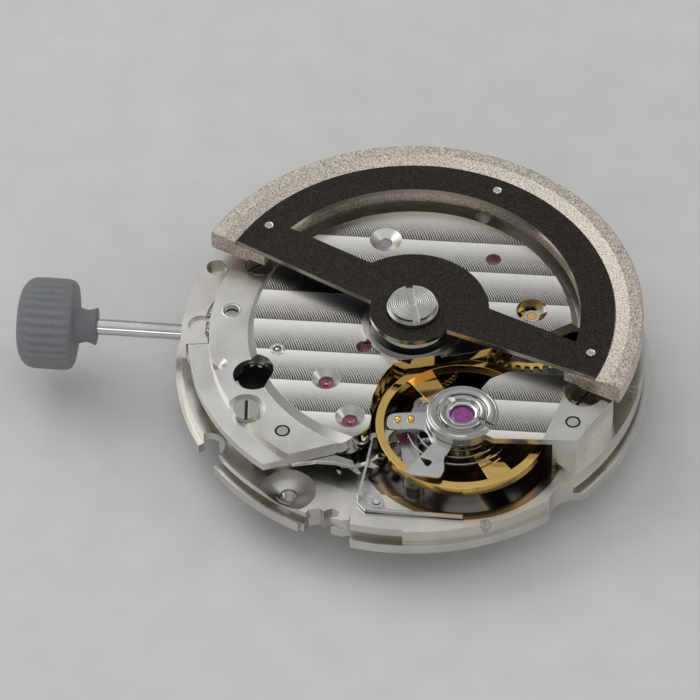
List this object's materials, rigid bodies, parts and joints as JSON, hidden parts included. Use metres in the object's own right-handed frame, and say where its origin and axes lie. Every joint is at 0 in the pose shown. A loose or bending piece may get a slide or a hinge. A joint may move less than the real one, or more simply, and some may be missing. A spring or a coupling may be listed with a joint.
{
  "type": "self-winding watch movement",
  "caption": "Round self-winding mechanical watch movement with swinging rotor, open balance, calendar ring and winding crown on its stem.",
  "frame": {"origin": "where the centre axis, which carries the hands, meets the plane of the dial seat", "axes": "+Z along the centre axis from the dial side towards the rotor, -X along the stem towards the crown"},
  "size_m": [0.0347, 0.026, 0.0078],
  "materials": {
    "plated_steel": "satin nickel-plated brass",
    "striped_bridge": "nickel-plated brass, striped",
    "polished_steel": "polished",
    "spring_steel": "plain",
    "gilt_brass": "gilt",
    "escape_steel": "polished",
    "ruby": "polished synthetic ruby",
    "date_white": "matte white",
    "date_plastic": "plain",
    "rotor_dark": "dark satin",
    "rotor_heavy": "sand-blasted heavy metal",
    "crown_grey": "grey matte"
  },
  "bodies": {
    "plate": {"main_plate": "plated_steel", "train_bridge": "striped_bridge", "balance_cock": "striped_bridge", "pallet_bridge": "plated_steel", "bridge_screws": "polished_steel", "small_screws": "polished_steel", "pivot_jewels": "ruby", "steady_pins": "polished_steel", "shock_blocks": "polished_steel", "cap_jewels": "ruby", "shock_springs": "spring_steel", "crown_wheel_stud": "polished_steel", "click_spring": "spring_steel", "date_guard": "plated_steel", "bearing_core": "polished_steel", "rotor_screw": "polished_steel"},
    "barrel": {"barrel_drum": "plated_steel", "barrel_cover": "plated_steel", "mainspring": "spring_steel"},
    "ratchet": {"ratchet_wheel": "polished_steel", "barrel_arbor": "polished_steel"},
    "centre": {"centre_wheel": "gilt_brass"},
    "third": {"third_wheel": "gilt_brass"},
    "fourth": {"fourth_wheel": "gilt_brass"},
    "escape": {"escape_wheel": "escape_steel"},
    "pallet": {"pallet_fork": "polished_steel", "pallet_stones": "ruby"},
    "balance": {"balance_wheel": "gilt_brass", "balance_staff": "polished_steel", "roller_table": "gilt_brass", "impulse_jewel": "ruby"},
    "seconds": {"seconds_pinion": "polished_steel"},
    "cannon": {"cannon_pinion": "gilt_brass"},
    "minute": {"minute_wheel": "gilt_brass"},
    "hour": {"hour_wheel": "gilt_brass"},
    "setting": {"setting_wheel": "gilt_brass"},
    "date_intermediate": {"date_intermediate_wheel": "gilt_brass"},
    "date_drive": {"date_driver": "date_plastic"},
    "calendar": {"date_ring": "date_white"},
    "jumper": {"date_jumper": "spring_steel"},
    "winding": {"winding_pinion": "polished_steel"},
    "clutch": {"sliding_pinion": "polished_steel"},
    "crown_stem": {"stem": "polished_steel", "crown": "crown_grey"},
    "winding_crown_wheel": {"crown_wheel": "polished_steel"},
    "setting_lever_body": {"setting_lever": "polished_steel"},
    "yoke_body": {"yoke": "polished_steel"},
    "hack": {"hack_lever": "polished_steel"},
    "click_body": {"click": "polished_steel"},
    "rotor": {"rotor_plate": "rotor_dark", "rotor_weight": "rotor_heavy", "rotor_rivets": "polished_steel", "rotor_bearing": "polished_steel"},
    "reverser_body": {"reverser": "gilt_brass"},
    "automatic": {"automatic_wheel": "gilt_brass"},
    "idler": {"winding_idler": "gilt_brass"},
    "stud_ring": {"stud_carrier": "polished_steel", "stud_pins": "gilt_brass", "hairspring": "spring_steel"},
    "regulator_body": {"regulator": "polished_steel"}
  },
  "joints": [
    {"name": "fourth_turn", "type": "hinge", "parent": "plate", "child": "fourth", "pos_m": [-0.0043, -0.00421, 0.0025], "axis": [0, 0, 1], "continuous": true},
    {"name": "barrel_turn", "type": "hinge", "parent": "plate", "child": "barrel", "pos_m": [-0.00205, 0.00635, 0.002], "axis": [0, 0, 1], "continuous": true},
    {"name": "centre_turn", "type": "hinge", "parent": "plate", "child": "centre", "pos_m": [0, 0, 0.0014], "axis": [0, 0, 1], "continuous": true},
    {"name": "third_turn", "type": "hinge", "parent": "plate", "child": "third", "pos_m": [-0.0025, -0.00175, 0.0022], "axis": [0, 0, 1], "continuous": true},
    {"name": "escape_turn", "type": "hinge", "parent": "plate", "child": "escape", "pos_m": [-0.00275, -0.00685, 0.0019], "axis": [0, 0, 1], "continuous": true},
    {"name": "seconds_turn", "type": "hinge", "parent": "plate", "child": "seconds", "pos_m": [0, 0, 0.0022], "axis": [0, 0, 1], "continuous": true},
    {"name": "cannon_turn", "type": "hinge", "parent": "plate", "child": "cannon", "pos_m": [0, 0, 0.0008], "axis": [0, 0, 1], "continuous": true},
    {"name": "minute_turn", "type": "hinge", "parent": "plate", "child": "minute", "pos_m": [-0.00242, 0.0014, 0.0008], "axis": [0, 0, 1], "continuous": true},
    {"name": "hour_turn", "type": "hinge", "parent": "plate", "child": "hour", "pos_m": [0, 0, 0.0006], "axis": [0, 0, 1], "continuous": true},
    {"name": "setting_turn", "type": "hinge", "parent": "plate", "child": "setting", "pos_m": [-0.00577, 0.00038, 0.0008], "axis": [0, 0, 1], "continuous": true},
    {"name": "date_intermediate_turn", "type": "hinge", "parent": "plate", "child": "date_intermediate", "pos_m": [0.00421, 0.00153, 0.0006], "axis": [0, 0, 1], "continuous": true},
    {"name": "date_drive_turn", "type": "hinge", "parent": "plate", "child": "date_drive", "pos_m": [0.00658, 0.00239, 0.00045], "axis": [0, 0, 1], "continuous": true},
    {"name": "crown_turn", "type": "hinge", "parent": "plate", "child": "winding", "pos_m": [-0.0108, 0, 0.0021], "axis": [1, 0, 0], "continuous": true},
    {"name": "crown_wheel_turn", "type": "hinge", "parent": "plate", "child": "winding_crown_wheel", "pos_m": [-0.008, 0.00026, 0.0028], "axis": [0, 0, 1], "continuous": true},
    {"name": "ratchet_turn", "type": "hinge", "parent": "plate", "child": "ratchet", "pos_m": [-0.00205, 0.00635, 0.0028], "axis": [0, 0, 1], "continuous": true},
    {"name": "rotor_spin", "type": "hinge", "parent": "plate", "child": "rotor", "pos_m": [0, 0, 0.0048], "axis": [0, 0, 1], "continuous": true},
    {"name": "reverser_turn", "type": "hinge", "parent": "plate", "child": "reverser_body", "pos_m": [0.00248, 0.00067, 0.0041], "axis": [0, 0, 1], "continuous": true},
    {"name": "automatic_turn", "type": "hinge", "parent": "plate", "child": "automatic", "pos_m": [0.00636, 0.00172, 0.0028], "axis": [0, 0, 1], "continuous": true},
    {"name": "idler_turn", "type": "hinge", "parent": "plate", "child": "idler", "pos_m": [0.00397, 0.00534, 0.0028], "axis": [0, 0, 1], "continuous": true},
    {"name": "crown_pull", "type": "slide", "parent": "winding", "child": "crown_stem", "axis": [-1, 0, 0], "range_m": [0, 0.0008]},
    {"name": "clutch_shift", "type": "slide", "parent": "winding", "child": "clutch", "axis": [1, 0, 0], "range_m": [0, 0.0006]},
    {"name": "setting_lever_swing", "type": "hinge", "parent": "plate", "child": "setting_lever_body", "pos_m": [-0.0117, -0.0025, 0.0006], "axis": [0, 0, 1], "range_deg": [0, 24.8]},
    {"name": "yoke_swing", "type": "hinge", "parent": "plate", "child": "yoke_body", "pos_m": [-0.00805, -0.0032, 0.0006], "axis": [0, 0, 1], "range_deg": [-14, 0]},
    {"name": "hack_swing", "type": "hinge", "parent": "plate", "child": "hack", "pos_m": [-0.00085, -0.01135, 0.002], "axis": [0, 0, 1], "range_deg": [-2.7, 0]},
    {"name": "balance_swing", "type": "hinge", "parent": "plate", "child": "balance", "pos_m": [0.0032, -0.0061, 0.0025], "axis": [0, 0, 1], "range_deg": [-270, 270], "deforming": ["hairspring"]},
    {"name": "pallet_swing", "type": "hinge", "parent": "plate", "child": "pallet", "pos_m": [0.00035, -0.0069, 0.0019], "axis": [0, 0, 1], "range_deg": [-5, 5]},
    {"name": "date_ring_turn", "type": "hinge", "parent": "plate", "child": "calendar", "pos_m": [0, 0, 0.0002], "axis": [0, 0, 1], "continuous": true},
    {"name": "date_jumper_swing", "type": "hinge", "parent": "plate", "child": "jumper", "pos_m": [-0.0009, -0.0066, 0.0002], "axis": [0, 0, 1], "range_deg": [-4, 0]},
    {"name": "click_swing", "type": "hinge", "parent": "plate", "child": "click_body", "pos_m": [-0.00395, -0.0002, 0.0028], "axis": [0, 0, 1], "range_deg": [-8, 0]},
    {"name": "stud_carrier_turn", "type": "hinge", "parent": "plate", "child": "stud_ring", "pos_m": [0.0032, -0.0061, 0.0031], "axis": [0, 0, 1], "range_deg": [-10, 10]},
    {"name": "regulator_turn", "type": "hinge", "parent": "plate", "child": "regulator_body", "pos_m": [0.0032, -0.0061, 0.0033], "axis": [0, 0, 1], "range_deg": [-10, 10]}
  ],
  "couplings": [
    {"joint": "barrel_turn", "follows": "fourth_turn", "ratio": -0.0033333},
    {"joint": "centre_turn", "follows": "fourth_turn", "ratio": 0.016667},
    {"joint": "third_turn", "follows": "fourth_turn", "ratio": -0.13333},
    {"joint": "seconds_turn", "follows": "fourth_turn", "ratio": 1},
    {"joint": "escape_turn", "follows": "fourth_turn", "ratio": -12},
    {"joint": "cannon_turn", "follows": "fourth_turn", "ratio": 0.016667},
    {"joint": "minute_turn", "follows": "fourth_turn", "ratio": -0.0055556},
    {"joint": "setting_turn", "follows": "fourth_turn", "ratio": 0.0083333},
    {"joint": "hour_turn", "follows": "fourth_turn", "ratio": 0.0013889},
    {"joint": "date_intermediate_turn", "follows": "fourth_turn", "ratio": -0.0013889},
    {"joint": "date_drive_turn", "follows": "fourth_turn", "ratio": 0.00069444},
    {"joint": "crown_wheel_turn", "follows": "crown_turn", "ratio": 0.25},
    {"joint": "ratchet_turn", "follows": "crown_turn", "ratio": -0.15152},
    {"joint": "reverser_turn", "follows": "rotor_spin", "ratio": -1.75},
    {"joint": "automatic_turn", "follows": "rotor_spin", "ratio": 0.23864},
    {"joint": "idler_turn", "follows": "rotor_spin", "ratio": -1.05},
    {"joint": "clutch_shift", "follows": "crown_pull", "ratio": 0.75},
    {"joint": "setting_lever_swing", "follows": "crown_pull", "rad_per_m": 538.87},
    {"joint": "yoke_swing", "follows": "crown_pull", "rad_per_m": -300},
    {"joint": "hack_swing", "follows": "crown_pull", "rad_per_m": -56.723}
  ]
}
